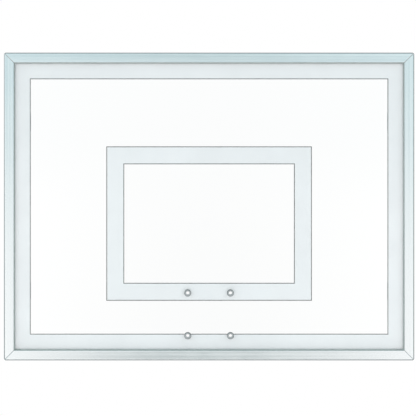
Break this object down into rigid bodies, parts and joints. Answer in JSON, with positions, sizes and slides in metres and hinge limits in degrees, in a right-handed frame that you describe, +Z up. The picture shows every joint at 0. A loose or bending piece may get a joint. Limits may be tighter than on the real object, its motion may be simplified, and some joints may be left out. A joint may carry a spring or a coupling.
{
  "type": "basketball backboard",
  "caption": "Rectangular glass basketball backboard in a mitred aluminium frame, with border and target stripes, sleeved rim bolt holes and slotted support lugs on its back.",
  "frame": {"origin": "centre of the four support bolts, on the rear face of the lugs", "axes": "+X to the right seen from the court, +Y back towards the support, +Z up"},
  "size_m": [1.2192, 0.0509, 0.9144],
  "materials": {
    "clear_glass": "clear toughened plate, polished, faint green edge",
    "white_enamel": "fired white enamel, satin",
    "grey_enamel": "fired grey enamel, satin",
    "frame_aluminium": "satin anodised, drawn grain along the length",
    "key_aluminium": "mill finish",
    "gasket_rubber": "matt grey rubber",
    "sleeve_steel": "zinc plated, turned",
    "washer_rubber": "matt grey rubber",
    "lug_steel": "zinc plated plate",
    "screw_steel": "zinc plated"
  },
  "bodies": {
    "root": {"glass_pane": "clear_glass", "border_stripe": "white_enamel", "target_stripe": "white_enamel", "border_keyline": "grey_enamel", "target_keyline_outer": "grey_enamel", "target_keyline_inner": "grey_enamel", "top_rail": "frame_aluminium", "bottom_rail": "frame_aluminium", "left_rail": "frame_aluminium", "right_rail": "frame_aluminium", "top_gasket": "gasket_rubber", "bottom_gasket": "gasket_rubber", "left_gasket": "gasket_rubber", "right_gasket": "gasket_rubber", "corner_key_bottom_left": "key_aluminium", "corner_key_bottom_right": "key_aluminium", "corner_key_top_left": "key_aluminium", "corner_key_top_right": "key_aluminium", "corner_screws_bottom_left": "screw_steel", "corner_screws_bottom_right": "screw_steel", "corner_screws_top_left": "screw_steel", "corner_screws_top_right": "screw_steel", "rim_sleeve_lower_left": "sleeve_steel", "rim_collar_lower_left": "sleeve_steel", "rim_front_washer_lower_left": "washer_rubber", "rim_rear_washer_lower_left": "washer_rubber", "support_lug_lower_left": "lug_steel", "nut_plate_lower_left": "lug_steel", "lug_screws_lower_left": "screw_steel", "rim_sleeve_lower_right": "sleeve_steel", "rim_collar_lower_right": "sleeve_steel", "rim_front_washer_lower_right": "washer_rubber", "rim_rear_washer_lower_right": "washer_rubber", "support_lug_lower_right": "lug_steel", "nut_plate_lower_right": "lug_steel", "lug_screws_lower_right": "screw_steel", "rim_sleeve_upper_left": "sleeve_steel", "rim_collar_upper_left": "sleeve_steel", "rim_front_washer_upper_left": "washer_rubber", "rim_rear_washer_upper_left": "washer_rubber", "support_lug_upper_left": "lug_steel", "nut_plate_upper_left": "lug_steel", "lug_screws_upper_left": "screw_steel", "rim_sleeve_upper_right": "sleeve_steel", "rim_collar_upper_right": "sleeve_steel", "rim_front_washer_upper_right": "washer_rubber", "rim_rear_washer_upper_right": "washer_rubber", "support_lug_upper_right": "lug_steel", "nut_plate_upper_right": "lug_steel", "lug_screws_upper_right": "screw_steel"}
  },
  "joints": []
}
